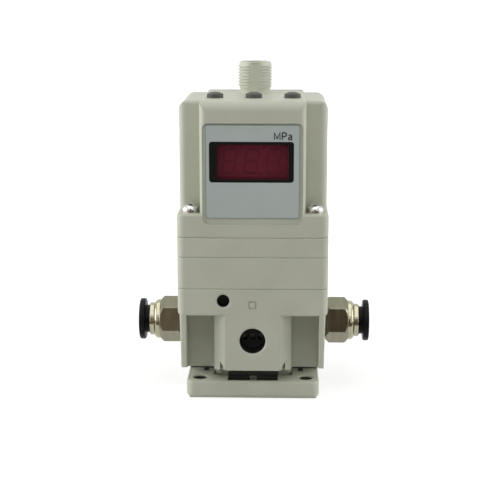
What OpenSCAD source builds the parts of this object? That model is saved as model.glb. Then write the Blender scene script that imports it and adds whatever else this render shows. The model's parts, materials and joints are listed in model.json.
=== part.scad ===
// Electro pneumatic regulator: an air pressure regulator with a stacked square body, a display
// cover, a push-in tube fitting on each side and a mounting base.
// Millimetres, +Z up, front towards -Y, origin at the centre of the base's underside.

/* [Stack] */
// Side of the square layers
body_w = 50; // [48:0.5:54]
// Radius of the layers' upright corners
corner_r = 2.6; // [1.6:0.1:3.4]
// Rounding of the layers' edges along the seams
seam_r = 0.4; // [0.2:0.05:0.7]
// Height of the main body above the base
body_h = 32.6; // [32:0.1:38]
// Height of the bonnet
bonnet_h = 10.7; // [9:0.1:14]
// Height of the pilot plate
plate_h = 6.7; // [6.2:0.1:10]

/* [Mounting base] */
// Side of the square base
base_w = 45; // [43:0.5:50]
// Thickness of the base
base_h = 6.2; // [5.6:0.1:8]
// Radius of the base's upright corners
base_corner_r = 2.8; // [2:0.1:4]
// Rounding of the base's upper edge
base_top_r = 0.8; // [0.4:0.1:1.2]
// Rounding of the base's lower edge
base_foot_r = 1.5; // [0.6:0.1:1.9]
// Distance of the mounting holes from the base's sides
base_hole_inset = 4.5; // [3.8:0.1:5]
// Diameter of the mounting holes
base_hole_d = 4.5; // [3.4:0.1:5.5]
// Chamfer at the mouths of the mounting holes
base_hole_chamfer = 0.45; // [0.2:0.05:0.8]
// Depth of the recess that locates the body's foot
locating_d = 1; // [0.6:0.1:1.4]
// Length of that recess, front to rear
recess_l = 32; // [29:0.5:34]
// Width of the pockets in front of and behind the recess
pocket_w = 17; // [12:0.5:20]
// Floor thickness under the pockets
pocket_floor = 1.5; // [1:0.1:3]
// Wall between a pocket and the base's side
pocket_wall = 1; // [0.9:0.1:2]
// Thickness of the rib that splits each pocket
pocket_rib_t = 2.2; // [1.5:0.1:4]
// Drop of the rib below the top of the base
pocket_rib_drop = 1.4; // [0.5:0.1:3]

/* [Main body] */
// Inset of the lower body's sides from the layers above
lower_step = 0.7; // [0.2:0.1:1.5]
// Inward draft of the lower body's sides at the skirt
skirt_draft = 0.5; // [0:0.1:0.8]
// Height of the full-width block at the top of the body
block_h = 9.2; // [8:0.1:11]
// Rounding of that block's lower edge
block_edge_r = 0.9; // [0.4:0.1:1.4]
// Gap from the base to the columns
skirt_gap = 4.5; // [4:0.1:5.6]
// Gap from the base to the core
core_gap = 2.3; // [1:0.1:3.4]
// Side of the square foot that stands in the base
foot_w = 26.6; // [26:0.1:28]
// Front to rear depth of the core between the alcoves
core_d = 27; // [26:0.1:30]
// Rounding of the alcoves' inner corners
alcove_r = 2.5; // [1:0.1:3.5]
// Thickness of the side fins
fin_t = 2.1; // [1.5:0.1:3]
// Radius of the fins' upright edges
fin_edge_r = 1; // [0.4:0.1:1.4]
// Height of the fins' ends above the foot of the columns
fin_rise = 1; // [0.2:0.1:2]
// Width of a column at its face
column_w = 18.4; // [15:0.1:19.5]
// Width of a column at its root
column_root_w = 27; // [24:0.1:29]
// Height of the cut across a column's lower corners
column_cut = 2.6; // [1:0.1:3.5]
// Side of the square moulded on the front
mark_w = 2.6; // [2:0.1:4]

/* [Ports] */
// Core diameter of the pipe threads
port_d = 8.566; // [8:0.002:9]
// Depth of the side ports
port_depth = 9; // [8.6:0.1:10]
// Distance of the side ports below the full-width block
port_drop = 7.9; // [7.6:0.1:9]
// Distance of the exhaust port below the full-width block
exhaust_drop = 8.7; // [7.6:0.1:10]
// Depth of the exhaust port
exhaust_depth = 8; // [6:0.1:9]
// Core diameter of the pilot exhaust thread
pilot_port_d = 4.134; // [3.2:0.002:5]
// Distance of the pilot exhaust to the left of the middle
pilot_port_x = 9.75; // [8:0.05:12]
// Depth of the pilot exhaust below the body's top
pilot_port_drop = 4.1; // [3.6:0.1:5]
// Depth of the pilot exhaust port
pilot_port_depth = 5; // [4:0.1:5.4]
// Chamfer at the mouths of the ports
port_chamfer = 0.6; // [0.3:0.1:1]

/* [Valve] */
// Diameter of the valve chambers
chamber_d = 18; // [17:0.1:19]
// Diameter of the cap below the valve
cap_d = 22; // [21:0.1:23]
// Diameter of the valve seat
seat_d = 10; // [9:0.1:11]
// Thickness of the wall that carries the seat
seat_web_t = 1.5; // [1.2:0.1:2]
// Height of the seat's lip
seat_lip_h = 0.4; // [0.2:0.1:0.8]
// Height of the seat above the axis of the side ports
seat_offset = 0.7; // [0.4:0.1:1]
// Opening travel of the valve
valve_travel = 1.5; // [0.8:0.1:1.8]
// Diameter of the valve's head
valve_head_d = 14; // [13:0.1:15]
// Thickness of the valve's head with its seal
valve_head_t = 2.1; // [1.8:0.1:2.5]
// Thickness of the valve's seal
valve_seal_t = 1; // [0.6:0.1:1.2]
// Diameter of the valve's tail
valve_tail_d = 8; // [7:0.1:8.6]
// Diameter of the exhaust passage through the valve
valve_bore_d = 4; // [3:0.1:4.6]
// Wire of the valve spring
spring_wire = 0.8; // [0.5:0.05:0.9]
// Turns of the valve spring
spring_turns = 3; // [2:0.5:3.5]

/* [Diaphragm] */
// Diameter of the clamped diaphragm
diaphragm_d = 40; // [38:0.2:41]
// Thickness of the diaphragm
diaphragm_t = 0.8; // [0.5:0.1:1.2]
// Diameter of the pressure chambers beside the diaphragm
pressure_d = 34; // [32:0.2:35]
// Diameter of the diaphragm's discs
disc_d = 24; // [20:0.2:24.4]
// Thickness of the diaphragm's discs
disc_t = 1.4; // [1:0.1:1.6]
// Diameter of the stem under the lower disc
stem_d = 5.8; // [5:0.1:6.4]
// Lift of the discs off the valve
diaphragm_lift = 0.8; // [0.4:0.1:1]

/* [Cover] */
// Height of the cover
cover_h = 44.5; // [42:0.5:52]
// Height of the flange at the cover's foot
flange_h = 7.8; // [6:0.1:10]
// Width of the steps at the cover's corners
corner_step = 7.7; // [7:0.1:8.4]
// Inset of the cover's side blocks from the layers
side_step = 0.5; // [0.2:0.1:1.2]
// Drop of the cover's side blocks below its roof
side_drop = 0.4; // [0.3:0.1:0.8]
// Rounding of the cover's outer upper edges
cover_edge_r = 3.2; // [1.5:0.1:4]
// Rounding of the upper edges at the corner steps
inner_edge_r = 1.2; // [0.8:0.1:2]
// Rounding of the cover's upright edges
cover_corner_r = 2.2; // [0.8:0.1:2.4]
// Wall of the cover
wall_t = 2; // [1.6:0.1:2.2]
// Thickness of the cover's roof
roof_t = 2.2; // [1.8:0.1:3]
// Depth of the shallow field along the roof
field_d = 0.15; // [0.1:0.05:0.5]

/* [Label and window] */
// Margin from the label to the sides of the cover's middle block
label_margin = 2; // [1.5:0.05:3]
// Height of the label's lower edge above the cover's foot
label_rise = 6.45; // [6:0.05:8]
// Distance of the label's upper edge below the roof
label_drop = 7.45; // [6:0.05:9]
// Thickness of the label
label_t = 0.3; // [0.1:0.05:0.4]
// Corner radius of the label
label_r = 0.8; // [0.5:0.1:2]
// Margin of the recess beside the label
recess_margin = 0.9; // [0.4:0.1:1]
// Margin of the recess above the label
recess_head = 0.4; // [0.3:0.1:1]
// Margin of the recess below the label
recess_foot = 2; // [1:0.1:3]
// Depth of the label's recess
recess_d = 0.5; // [0.4:0.05:0.8]
// Margin from the window to the label's sides
window_margin = 1.6; // [1:0.05:3]
// Distance of the window below the label's upper edge
window_drop = 5.5; // [4:0.1:7]
// Height of the window
window_h = 13.2; // [12:0.1:15]
// Corner radius of the window
window_r = 0.9; // [0.3:0.1:1.4]
// Width of the bezel beside the lens
bezel_side = 2.1; // [1.2:0.1:3]
// Width of the bezel above and below the lens
bezel_lip = 0.9; // [0.6:0.1:2]
// Thickness of the lens
lens_t = 1.4; // [1:0.1:1.8]
// Depth of the display module
module_l = 7; // [6:0.1:8]

/* [Buttons] */
// Diameter of the buttons
button_d = 5.5; // [4.5:0.1:6.5]
// Distance between the buttons
button_pitch = 12.9; // [11:0.1:13.4]
// Distance of the buttons in front of the middle
button_y = 8.5; // [7.6:0.1:9.4]
// Height of a button above the roof
button_rise = 1.7; // [1.2:0.1:2.5]
// Travel of a button
button_travel = 0.7; // [0.3:0.1:0.9]
// Height of a tact switch
tact_h = 3.4; // [2.8:0.1:5]

/* [Connector] */
// Outer diameter of the connector's thread
connector_d = 11.8; // [11.5:0.1:13]
// Distance of the connector behind the middle
connector_y = 11; // [9:0.1:12]
// Diameter of the neck under the thread
neck_d = 10.4; // [10:0.1:11]
// Height of the neck
neck_h = 1.7; // [1:0.1:2.5]
// Height of the thread
thread_h = 7.8; // [6:0.1:10]
// Height of the lead-in above the thread
lead_h = 1.2; // [0.6:0.1:1.6]
// Bore of the connector
socket_d = 8.6; // [8.2:0.1:9]
// Circle that the contact pins stand on
pin_circle_d = 5; // [4.6:0.1:5.4]

/* [Tube fittings] */
// Outer diameter of the tube
tube_d = 8; // [7.6:0.1:8.2]
// Width of the hexagon across its flats
hex_af = 14; // [13.6:0.1:15]
// Length of the hexagon
hex_l = 7.9; // [7:0.1:10]
// Turn of the hexagon about the port's axis
hex_turn = 13; // [-30:1:30]
// Length of the shoulder past the hexagon
shoulder_l = 2.2; // [1.6:0.1:3]
// Length of the nose past the shoulder
nose_l = 1.6; // [1.4:0.1:2.4]
// Diameter of the nose
nose_d = 11.6; // [11.2:0.1:12.6]
// Length of the threaded stem in the port
stem_l = 8; // [6:0.1:8.4]
// Thickness of the face seal
face_seal_t = 0.8; // [0.5:0.1:1.2]
// Diameter of the release collar's flange
collar_d = 14.4; // [13.4:0.1:16]
// Thickness of that flange
collar_t = 2; // [1.4:0.1:2.6]
// Travel of the release collar
collar_travel = 1.3; // [0.6:0.1:1.6]

/* [Fasteners] */
// Thread diameter of the screws
screw_d = 3; // [2.5:0.1:3.2]
// Head diameter of the screws
head_d = 5.5; // [5:0.1:5.8]
// Head height of the cover screws
pan_head_h = 2.5; // [2:0.1:2.8]
// Head height of the socket screws
socket_head_h = 3; // [2.4:0.1:3.2]
// Distance between the base screws
base_screw_pitch = 21; // [20.6:0.1:21.6]
// Gap from a cover screw's head to the cover's walls
cover_screw_gap = 0.45; // [0.2:0.05:0.8]

/* [Clearances] */
// Radial gap of a running fit
run_gap = 0.05; // [0.02:0.01:0.09]
// Gap round a button or a collar's barb
slide_gap = 0.1; // [0.05:0.01:0.2]
// Radial gap of a screw in its thread
thread_gap = 0.02; // [0.01:0.01:0.05]
// Radial gap of a screw in a plain hole
hole_gap = 0.15; // [0.1:0.05:0.3]
// Gap between pieces that are put together by hand
fit_gap = 0.2; // [0.1:0.05:0.3]

/* [Hidden] */
$fn = 72;
// Depth by which a cut runs past a face
over = 1;

// Mounting holes
base_pitch = base_w - 2 * base_hole_inset;

// Levels, from the base upwards
z_foot = base_h - locating_d;
z_core = base_h + core_gap;
z_skirt = base_h + skirt_gap;
z_fin = z_skirt + fin_rise;
z_body = base_h + body_h;
z_block = z_body - block_h;
z_bonnet = z_body + bonnet_h;
z_plate = z_bonnet + plate_h;
z_ledge = z_plate + flange_h;
z_roof = z_plate + cover_h;
z_ceiling = z_roof - roof_t;

// Main body
half_w = body_w / 2;
lower_w = body_w - 2 * lower_step;
lower_half = lower_w / 2;
core_half = core_d / 2;
alcove_d = half_w - core_half;
column_cut_w = 0.3;
column_cut_l = 4.4;
column_cut_spread = 1.6;
mark_line = 0.35;
mark_depth = 0.25;

// Valve, worked out from its seat
z_port = z_block - port_drop;
z_exhaust = z_block - exhaust_drop;
z_pilot_port = z_body - pilot_port_drop;
z_seat = z_port + seat_offset;
z_web = z_seat + seat_lip_h;
z_out = z_web + seat_web_t;
partition_t = 4;
valve_overrun = 1;
valve_rim_t = 0.4;
z_head = z_seat - valve_head_t;
z_cap = z_head - valve_travel - valve_overrun;
seat_lip_t = 0.7;
passage_d = 3.6;
cap_flange_t = 2.8;
cap_groove_h = 2.8;
cap_groove_deep = 2.5;
z_groove = z_cap - cap_flange_t - cap_groove_h / 2;
cap_seal_d = 1.3;
cap_floor = 1.5;
cap_wall = 0.85;
cap_fit_d = cap_d - 2 * run_gap;
seal_mid_d = cap_d - cap_seal_d - 2 * run_gap;
z_cap_seals = [z_foot + cap_flange_t, z_cap - cap_flange_t / 2];
seal_groove_gap = 0.1;
tail_rise = 0.4;
z_tail = z_cap - cap_flange_t + tail_rise;
spring_pocket = 2.6;
spring_r = valve_tail_d / 2 + cap_wall + spring_wire / 2 + fit_gap;
z_spring = z_cap - spring_pocket;
exhaust_way_d = 1.8;
exhaust_way_pitch = 2.6;
pilot_drop_inset = 3.5;
pilot_drop_y = half_w - pilot_drop_inset;

// Diaphragm
rim_t = diaphragm_t / 2;
stud_d = 3;
convolution_r = 1.7;
convolution_mid = (disc_d + pressure_d) / 4;
nut_af = 5.5;
nut_t = 1.8;
z_nut = z_body + rim_t + disc_t;
chamber_spare = 0.5;
lower_chamber_h = rim_t + disc_t + valve_travel + chamber_spare;
upper_chamber_h = rim_t + disc_t + nut_t + diaphragm_lift + chamber_spare;
z_partition = z_body - lower_chamber_h;

// Pilot plate and what stands on it
plate_hole_d = 2;
valve_x = 7.5;
pilot_valve_w = 11;
pilot_base_l = 17;
pilot_base_h = 5;
pilot_coil_l = 10;
pilot_coil_h = 18;
pilot_core_d = 7;
pilot_core_rise = 2;
terminal_w = 0.6;
terminal_l = 4;
terminal_x = 2.5;
terminal_y = 3;
pilot_screw_d = 1.7;
pilot_screw_l = 5;
pilot_screw_y = 7;
pilot_head_d = 3;
pilot_head_h = 1;
gasket_t = 0.4;
gasket_inset = 2;
cover_gasket_t = 0.8;
cover_gasket_w = 1.1;
sensor_d = 7;
sensor_h = 7;
sensor_nozzle_d = 3;
sensor_nozzle_l = 4;

// Cover
side_w = body_w - 2 * side_step;
tower_w = body_w - 2 * corner_step;
side_d = body_w - 2 * corner_step;
cavity_tower_w = tower_w - 2 * wall_t;
cavity_tower_d = body_w - 2 * wall_t;
cavity_side_w = side_w - 2 * wall_t;
cavity_side_d = side_d - 2 * wall_t;
cover_screw_xy = tower_w / 2 + cover_screw_gap + head_d / 2;
tie_margin = 0.35;
tie_x = cavity_side_w / 2 - head_d / 2 - tie_margin;
tie_y = cavity_side_d / 2 - head_d / 2 + tie_margin / 2;
tie_tip_rise = 1.4;
z_tie_tip = z_block + tie_tip_rise;
head_sink = socket_head_h + fit_gap;
base_thread_l = 4;
base_screw_l = z_core - head_sink + base_thread_l;
cover_thread_spare = 1.2;
cover_thread_l = flange_h + plate_h - cover_thread_spare;
pan_head_r = 1.5;
cross_l = 3;
cross_w = 0.8;

// Label, window and display, from the front inwards
front_y = -half_w;
recess_y = front_y + recess_d;
wall_y = front_y + wall_t;
label_w = tower_w - 2 * label_margin;
label_h = cover_h - label_rise - label_drop;
window_w = label_w - 2 * window_margin;
lens_w = window_w - 2 * bezel_side;
lens_h = window_h - 2 * bezel_lip;
window_x = -0.35;
lens_x = 0.1;
z_window = z_plate + label_rise + label_h - window_drop - window_h / 2;
bezel_proud = 0.25;
bezel_flange_w = 0.9;
bezel_flange_t = 1;
bezel_y = wall_y + bezel_flange_t;
lens_lap = 0.6;
lens_gap = 0.2;
module_margin = 0.8;
board_t = 1.6;
board_gap = 0.3;
board_w = cavity_tower_w - 2 * board_gap;
slot_d = 1;
display_board_y = bezel_y + module_l;
sensor_gap = 0.7;
sensor_y = display_board_y + board_t + sensor_gap + sensor_d / 2;
control_board_y = sensor_y + sensor_d / 2 + sensor_gap;
pilot_valve_gap = 0.9;
valve_y = control_board_y + board_t + pilot_valve_gap + pilot_base_l / 2;
chip_t = 1.2;
// Across, above the plate, and side of each chip
chips = [[-8, 12, 9], [5, 14, 7], [-4, 24, 6], [8, 26, 5]];

// Buttons, from the roof downwards
button_flange_w = 0.8;
button_flange_t = 0.7;
button_spare = 0.1;
button_crown_h = 0.6;
button_crown_d = 2.6;
z_tact = z_ceiling - button_flange_t - button_travel - button_spare;
z_switch_board = z_tact - tact_h - board_t;
tact_w = 6;
tact_plunger_d = 3.5;
tact_plunger_h = 1.1;
button_hole_d = button_d + 2 * slide_gap;
field_y0 = half_w - cover_edge_r;

// Connector
connector_flange_d = 16;
connector_flange_t = 2.5;
connector_gasket_t = 0.6;
z_connector = z_ceiling - connector_gasket_t - connector_flange_t;
z_neck = z_roof + neck_h;
z_thread = z_neck + thread_h;
z_connector_top = z_thread + lead_h;
lead_cut = 0.3;
lead_d = connector_d - 2 * lead_cut;
insert_rise = 2.3;
insert_flange_t = 1.5;
pin_d = 1;
pin_tail = 2.5;
pin_rise = 8.6;

// Tube fittings, along each port's axis from the body's side outwards
tube_bore_d = tube_d + fit_gap;
tube_way_d = tube_bore_d + fit_gap;
u_hex = face_seal_t;
u_shoulder = u_hex + hex_l;
u_nose = u_shoulder + shoulder_l;
u_mouth = u_nose + nose_l;
barb_t = 1.05;
barb_d = tube_way_d + 2 * barb_t;
chamber_fit_d = barb_d + 2 * slide_gap;
collar_wall = 0.65;
neck_collar_d = tube_way_d + 2 * collar_wall;
lip_l = 1.6;
barb_l = 1.4;
u_lip = u_mouth - lip_l;
u_barb = u_lip - barb_l;
u_flange = u_mouth + collar_travel + slide_gap;
u_collar_end = u_flange + collar_t;
tube_seal_l = 1.6;
tube_stop_inset = 0.1;
socket_l = 3.7;
u_tube_stop = u_hex - tube_stop_inset;
u_chamber = u_tube_stop + socket_l;
collet_l = u_barb - collar_travel - slide_gap - u_chamber - tube_seal_l;
air_way_d = 6;
shoulder_step = 0.1;
shoulder_d = hex_af - 2 * shoulder_step;
hex_chamfer = 1.2;
shoulder_edge_r = 1.6;
nose_edge_r = 0.5;

casting_colour = [0.77, 0.78, 0.72];
nickel_colour = [0.78, 0.76, 0.7];
steel_colour = [0.75, 0.76, 0.77];
rubber_colour = [0.12, 0.12, 0.12];
black_colour = [0.08, 0.08, 0.09];
board_colour = [0.1, 0.33, 0.2];
brass_colour = [0.75, 0.6, 0.3];
solenoid_colour = [0.16, 0.17, 0.18];
lens_colour = [0.55, 0.08, 0.12];
label_colour = [0.6, 0.61, 0.62];
button_colour = [0.27, 0.28, 0.28];

// Shared shapes

// Copies of a shape at the four corners of a rectangle
module at_corners(x, y) {
  for (sx = [-1, 1], sy = [-1, 1]) translate([sx * x, sy * y, 0]) children();
}

// Rectangle with round corners, centred
module rounded_rect(w, d, r) {
  square([w - 2 * r, d], center = true);
  square([w, d - 2 * r], center = true);
  at_corners(w / 2 - r, d / 2 - r) circle(r);
}

// Side view of a slab with round upper and lower edges, standing on the X axis
module slab_profile(w, h, top_r, foot_r) {
  translate([-w / 2, foot_r]) square([w, h - top_r - foot_r]);
  translate([-w / 2 + foot_r, 0]) square([w - 2 * foot_r, h / 2]);
  translate([-w / 2 + top_r, h / 2]) square([w - 2 * top_r, h / 2]);
  for (s = [-1, 1]) {
    translate([s * (w / 2 - foot_r), foot_r]) circle(foot_r);
    translate([s * (w / 2 - top_r), h - top_r]) circle(top_r);
  }
}

// Slab with round upright corners and round upper and lower edges
module slab(w, d, h, r, top_r, foot_r) {
  rotate([90, 0, 0]) linear_extrude(d - 2 * r, center = true) slab_profile(w, h, top_r, foot_r);
  rotate([90, 0, 90]) linear_extrude(w - 2 * r, center = true) slab_profile(d, h, top_r, foot_r);
  at_corners(w / 2 - r, d / 2 - r) rotate_extrude() intersection() {
    slab_profile(2 * r, h, top_r, foot_r);
    square([r, h]);
  }
}

// Ring with a rectangular section
module ring(outer_d, inner_d, h) {
  difference() {
    cylinder(d = outer_d, h = h);
    translate([0, 0, -over]) cylinder(d = inner_d, h = h + 2 * over);
  }
}

// Plan of the cover's middle and side blocks together
module cross_plan(middle_w, middle_d, sides_w, sides_d) {
  square([middle_w, middle_d], center = true);
  square([sides_w, sides_d], center = true);
}

// Lays a shape that stands on the XY plane along +X, from the body's side outwards
module from_side() {
  translate([lower_half, 0, z_port]) rotate([0, 90, 0]) children();
}

// Lays a shape that stands on the XY plane along +Y, from the front face inwards
module from_front(x, z) {
  translate([x, front_y, z]) rotate([-90, 0, 0]) children();
}

// Hole that goes down from the XY plane, with its chamfered mouth
module chamfered_hole(d, depth, chamfer) {
  translate([0, 0, -depth]) cylinder(d = d, h = depth + over);
  translate([0, 0, -chamfer]) cylinder(d1 = d, d2 = d + 2 * chamfer, h = chamfer);
  cylinder(d = d + 2 * chamfer, h = over);
}

// Socket head screw, its head's underside on the XY plane and its thread downwards
module socket_screw(thread_l) {
  difference() {
    cylinder(d = head_d, h = socket_head_h);
    translate([0, 0, socket_head_h / 2]) cylinder(d = head_d / 2, h = socket_head_h, $fn = 6);
  }
  translate([0, 0, -thread_l]) cylinder(d = screw_d, h = thread_l);
}

// Cylinder with its upper edge rounded
module round_end(d, h, r) {
  cylinder(d = d, h = h - r);
  cylinder(d = d - 2 * r, h = h);
  translate([0, 0, h - r]) rotate_extrude() intersection() {
    translate([d / 2 - r, 0]) circle(r);
    square([d / 2, r]);
  }
}

// Points of a path with round corners; each corner is [x, y, radius]
function unit(v) = v / norm(v);
function round_corner(a, b, c, r, steps) =
  let (u = unit(a - b), v = unit(c - b),
       half = acos(u * v) / 2,
       mid = b + unit(u + v) * r / sin(half),
       p = b + u * r / tan(half) - mid,
       q = b + v * r / tan(half) - mid,
       turn = 180 - 2 * half,
       way = p.x * q.y - p.y * q.x > 0 ? 1 : -1)
  [for (i = [0:steps])
    let (t = way * turn * i / steps)
    mid + [p.x * cos(t) - p.y * sin(t), p.x * sin(t) + p.y * cos(t)]];
function round_path(path, steps = 8) =
  [for (i = [0:len(path) - 1])
    let (n = len(path), a = path[(i + n - 1) % n], b = path[i], c = path[(i + 1) % n])
    each b[2] > 0
      ? round_corner([a.x, a.y], [b.x, b.y], [c.x, c.y], b[2], steps)
      : [[b.x, b.y]]];

// Mounting base

module base_pocket() {
  y0 = recess_l / 2 - over;
  y1 = base_w / 2 - pocket_wall;
  translate([-pocket_w / 2, y0, pocket_floor]) cube([pocket_w, y1 - y0, base_h]);
}

module pocket_rib() {
  y0 = recess_l / 2;
  y1 = base_w / 2 - pocket_wall;
  translate([-pocket_rib_t / 2, y0, 0])
    cube([pocket_rib_t, y1 - y0 + over / 2, base_h - pocket_rib_drop]);
}

module mounting_base() {
  color(casting_colour) {
    difference() {
      slab(base_w, base_w, base_h, base_corner_r, base_top_r, base_foot_r);
      at_corners(base_pitch / 2, base_pitch / 2) translate([0, 0, base_h])
        chamfered_hole(base_hole_d, base_h + over, base_hole_chamfer);
      translate([0, 0, z_foot]) linear_extrude(base_h)
        square([foot_w + 2 * fit_gap, recess_l], center = true);
      for (turn = [0, 180]) rotate(turn) difference() {
        base_pocket();
        pocket_rib();
      }
      at_corners(base_screw_pitch / 2, base_screw_pitch / 2) {
        translate([0, 0, -over]) cylinder(d = head_d + 2 * fit_gap, h = head_sink + over);
        cylinder(d = screw_d + 2 * hole_gap, h = base_h);
      }
    }
  }
}

module base_screws() {
  color(steel_colour)
    at_corners(base_screw_pitch / 2, base_screw_pitch / 2)
      translate([0, 0, head_sink]) mirror([0, 0, 1]) socket_screw(base_screw_l);
}

// Main body

// Plan of the alcove at the right rear, with a slanted column side and round inner corners
module alcove_plan() {
  slope = (column_root_w - column_w) / 2 / alcove_d;
  fin_x = lower_half - fin_t;
  polygon(round_path([
    [column_w / 2 - slope * over, half_w + over, 0],
    [column_root_w / 2, core_half, alcove_r],
    [fin_x, core_half, alcove_r / 2],
    [fin_x, half_w + over, 0]
  ]));
}

// Cut across the lower outer corner of a column, at the right rear
module column_corner() {
  slope = (column_root_w - column_w) / 2 / alcove_d;
  drop = (z_skirt - z_core) / alcove_d;
  corner = [column_w / 2, half_w, z_skirt];
  above = corner + [0, 0, column_cut];
  inward = corner - [column_cut_w, 0, 0];
  behind = corner + [slope, -1, -drop] * column_cut_l;
  middle = (above + inward + behind) / 3;
  wide = [for (p = [above, inward, behind]) middle + (p - middle) * column_cut_spread];
  outside = corner + (corner - middle) * column_cut_spread;
  polyhedron(concat(wide, [outside]), [[0, 2, 1], [0, 1, 3], [1, 2, 3], [2, 0, 3]]);
}

// Cut that lifts the underside from the core towards the rear face
module foot_slope(x0, x1, z_face) {
  rise = (z_face - z_core) / alcove_d;
  translate([x0, 0, 0]) rotate([90, 0, 90]) linear_extrude(x1 - x0)
    polygon([[core_half, z_core - over], [half_w + over, z_core - over],
      [half_w + over, z_face + rise * over], [core_half, z_core]]);
}

module lower_body() {
  foot_half = lower_half - skirt_draft;
  split_x = column_root_w / 2 + alcove_r;
  difference() {
    intersection() {
      translate([0, 0, z_core]) linear_extrude(z_block - z_core + over) difference() {
        rounded_rect(lower_w, body_w, fin_edge_r);
        for (mx = [0, 1], my = [0, 1]) mirror([mx, 0]) mirror([0, my]) alcove_plan();
      }
      rotate([90, 0, 0]) linear_extrude(body_w + 2 * over, center = true)
        polygon([[-foot_half, z_core], [foot_half, z_core], [lower_half, z_block],
          [lower_half, z_body], [-lower_half, z_body], [-lower_half, z_block]]);
    }
    for (my = [0, 1]) mirror([0, my, 0]) {
      foot_slope(-split_x, split_x, z_skirt);
      for (mx = [0, 1]) mirror([mx, 0, 0]) {
        column_corner();
        foot_slope(split_x, half_w, z_fin);
      }
    }
  }
  translate([0, 0, z_foot]) linear_extrude(z_block - z_foot)
    rounded_rect(foot_w, min(foot_w, 2 * core_half), corner_r);
}

// Bores and chambers on the valve's axis
module valve_cavities() {
  translate([0, 0, z_foot - over]) cylinder(d = cap_d, h = z_cap - z_foot + over);
  difference() {
    translate([0, 0, z_cap - over]) cylinder(d = chamber_d, h = z_web - z_cap + over);
    translate([0, 0, z_seat]) ring(seat_d + 2 * seat_lip_t, seat_d, seat_lip_h + over);
  }
  translate([0, 0, z_seat]) cylinder(d = seat_d, h = z_out - z_seat + over);
  translate([0, 0, z_out]) cylinder(d = chamber_d, h = z_partition - partition_t - z_out);
  translate([0, 0, z_out]) cylinder(d = stem_d + 2 * run_gap, h = z_body - z_out);
  translate([0, 0, z_partition]) cylinder(d = pressure_d, h = lower_chamber_h + over);
  translate([0, 0, z_body - rim_t]) cylinder(d = diaphragm_d + 2 * run_gap, h = rim_t + over);
  translate([chamber_d / 2 - plate_hole_d, 0, z_out])
    cylinder(d = plate_hole_d, h = z_body - z_out);
}

// Side ports with the passages to the chambers below and above the seat
module side_port_cuts() {
  inner = lower_half - port_depth;
  passage_l = inner - chamber_d / 2 + 2 * over;
  z_supply = (z_cap + z_web) / 2;
  z_outlet = z_out + passage_d / 2 + seat_lip_h / 2;
  for (m = [0, 1]) mirror([m, 0, 0]) {
    from_side() chamfered_hole(port_d, port_depth, port_chamfer);
    translate([inner + over, 0, m == 1 ? z_supply : z_outlet]) rotate([0, -90, 0])
      cylinder(d = passage_d, h = passage_l);
  }
}

// Exhaust port with slanted passages down to the cap's groove
module exhaust_cuts() {
  start_y = front_y + exhaust_depth - over / 2;
  rise = z_groove - z_exhaust;
  run = -cap_d / 2 + over / 2 - start_y;
  from_front(0, z_exhaust) mirror([0, 0, 1]) chamfered_hole(port_d, exhaust_depth, port_chamfer);
  for (i = [-1:1]) translate([i * exhaust_way_pitch, start_y, z_exhaust])
    rotate([-atan2(run, rise), 0, 0]) cylinder(d = exhaust_way_d, h = norm([run, rise]));
}

// Pilot exhaust port with the passage up to the layers above
module pilot_exhaust_cuts() {
  from_front(-pilot_port_x, z_pilot_port) mirror([0, 0, 1])
    chamfered_hole(pilot_port_d, pilot_port_depth, port_chamfer);
  translate([-pilot_port_x, -pilot_drop_y, z_pilot_port])
    cylinder(d = plate_hole_d, h = z_body - z_pilot_port + over);
}

// Small square line moulded into the front
module front_mark() {
  translate([0, front_y, z_pilot_port - mark_w / 2]) rotate([90, 0, 0])
    linear_extrude(2 * mark_depth, center = true) difference() {
      square(mark_w, center = true);
      square(mark_w - 2 * mark_line, center = true);
    }
}

module main_body() {
  color(casting_colour) difference() {
    union() {
      translate([0, 0, z_block]) slab(body_w, body_w, block_h, corner_r, seam_r, block_edge_r);
      lower_body();
    }
    valve_cavities();
    side_port_cuts();
    exhaust_cuts();
    pilot_exhaust_cuts();
    front_mark();
    at_corners(tie_x, tie_y) translate([0, 0, z_tie_tip - fit_gap])
      cylinder(d = screw_d + 2 * thread_gap, h = z_body - z_tie_tip + over);
    at_corners(base_screw_pitch / 2, base_screw_pitch / 2) translate([0, 0, z_foot - over])
      cylinder(d = screw_d + 2 * thread_gap, h = head_sink + base_screw_l + fit_gap - z_foot + over);
  }
}

// Valve

module valve_cap() {
  groove_d = cap_fit_d - 2 * cap_groove_deep;
  guide_d = valve_tail_d + 2 * run_gap;
  pocket_in_d = 2 * spring_r - spring_wire - fit_gap;
  pocket_out_d = 2 * spring_r + spring_wire + 2 * fit_gap;
  seal_floor_d = cap_d - 2 * cap_seal_d - 4 * run_gap;
  seal_groove_h = cap_seal_d + 2 * seal_groove_gap;
  color(brass_colour) difference() {
    translate([0, 0, z_foot]) cylinder(d = cap_fit_d, h = z_cap - z_foot);
    translate([0, 0, z_groove - cap_groove_h / 2]) ring(cap_d + over, groove_d, cap_groove_h);
    for (z = z_cap_seals) translate([0, 0, z - seal_groove_h / 2])
      ring(cap_d + over, seal_floor_d, seal_groove_h);
    translate([0, 0, z_foot + cap_floor]) cylinder(d = guide_d, h = z_cap);
    translate([0, 0, z_spring]) ring(pocket_out_d, pocket_in_d, spring_pocket + over);
    for (turn = [0, 90]) rotate(turn) translate([0, 0, z_groove]) rotate([90, 0, 0])
      cylinder(d = plate_hole_d, h = groove_d + over, center = true);
  }
}

module valve_cap_seals() {
  color(rubber_colour) for (z = z_cap_seals) translate([0, 0, z])
    rotate_extrude() translate([seal_mid_d / 2, 0]) circle(d = cap_seal_d);
}

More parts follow.
